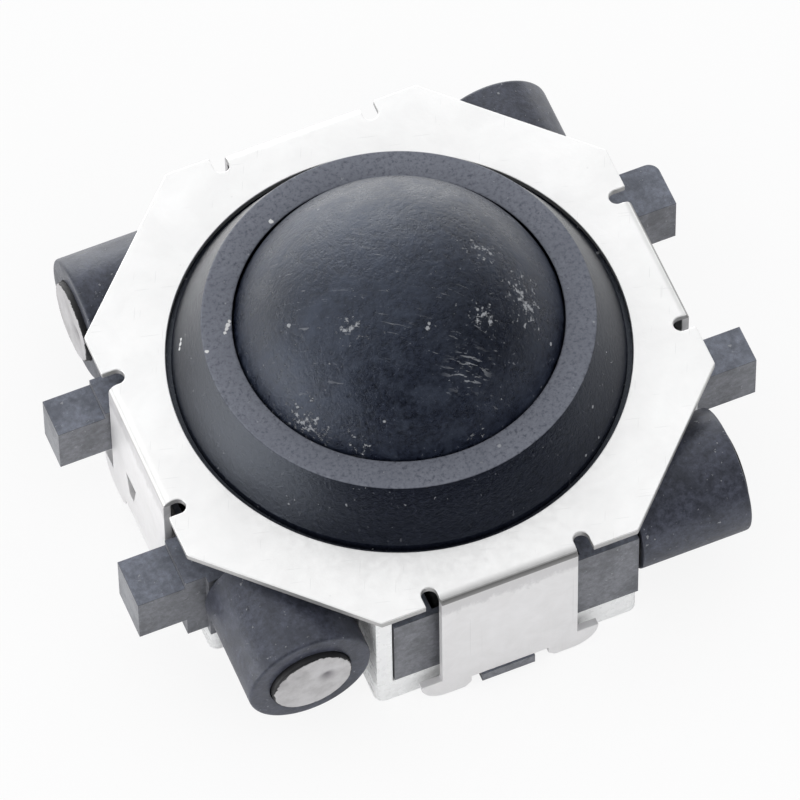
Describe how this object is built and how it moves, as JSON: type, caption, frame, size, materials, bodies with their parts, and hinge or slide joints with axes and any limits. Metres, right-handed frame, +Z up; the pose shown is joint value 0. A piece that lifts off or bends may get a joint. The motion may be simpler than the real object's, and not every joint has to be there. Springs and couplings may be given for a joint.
{
  "type": "trackball navigation switch",
  "caption": "Small trackball switch: a dark ball in a black conical ring turns magnet rollers under an octagonal folded metal cover on a translucent base.",
  "frame": {"origin": "on the ball's vertical axis, at the underside of the base", "axes": "+Z up through the ball; +X to the right and -Y to the front, each square to a pair of folded flaps; tabs on the +X and -X sides"},
  "size_m": [0.0124, 0.0104, 0.0066],
  "materials": {
    "cover_sheet": "bright tin-plated sheet",
    "ring_plastic": "matte black moulded plastic",
    "ball_plastic": "satin blue-black",
    "frame_plastic": "satin black moulded plastic",
    "light_guide": "milky translucent plastic",
    "shaft_steel": "ground steel",
    "sleeve_rubber": "matte black",
    "magnet_black": "satin black bonded magnet",
    "plug_white": "matte off-white"
  },
  "bodies": {
    "module": {"shield_cover": "cover_sheet", "retaining_ring": "ring_plastic", "base_frame": "frame_plastic", "light_guide": "light_guide"},
    "ball": {"trackball": "ball_plastic"},
    "front_roller": {"roller_shaft_front": "shaft_steel", "roller_sleeve_front": "sleeve_rubber", "magnet_ring_front": "magnet_black", "magnet_plug_front": "plug_white"},
    "right_roller": {"roller_shaft_right": "shaft_steel", "roller_sleeve_right": "sleeve_rubber", "magnet_ring_right": "magnet_black", "magnet_plug_right": "plug_white"},
    "back_roller": {"roller_shaft_back": "shaft_steel", "roller_sleeve_back": "sleeve_rubber", "magnet_ring_back": "magnet_black", "magnet_plug_back": "plug_white"},
    "left_roller": {"roller_shaft_left": "shaft_steel", "roller_sleeve_left": "sleeve_rubber", "magnet_ring_left": "magnet_black", "magnet_plug_left": "plug_white"}
  },
  "joints": [
    {"name": "ball_roll", "type": "hinge", "parent": "module", "child": "ball", "pos_m": [0, 0, 0.00347], "axis": [0.7071, 0.7071, 0], "continuous": true},
    {"name": "front_roller_spin", "type": "hinge", "parent": "module", "child": "front_roller", "pos_m": [0, -0.0038, 0.0019], "axis": [1, 0, 0], "continuous": true},
    {"name": "right_roller_spin", "type": "hinge", "parent": "module", "child": "right_roller", "pos_m": [0.0038, 0, 0.0019], "axis": [0, 1, 0], "continuous": true},
    {"name": "back_roller_spin", "type": "hinge", "parent": "module", "child": "back_roller", "pos_m": [0, 0.0038, 0.0019], "axis": [1, 0, 0], "continuous": true},
    {"name": "left_roller_spin", "type": "hinge", "parent": "module", "child": "left_roller", "pos_m": [-0.0038, 0, 0.0019], "axis": [0, 1, 0], "continuous": true}
  ],
  "couplings": [
    {"joint": "front_roller_spin", "follows": "ball_roll", "ratio": -2.4715},
    {"joint": "right_roller_spin", "follows": "ball_roll", "ratio": -2.4715},
    {"joint": "back_roller_spin", "follows": "ball_roll", "ratio": -2.4715},
    {"joint": "left_roller_spin", "follows": "ball_roll", "ratio": -2.4715}
  ]
}
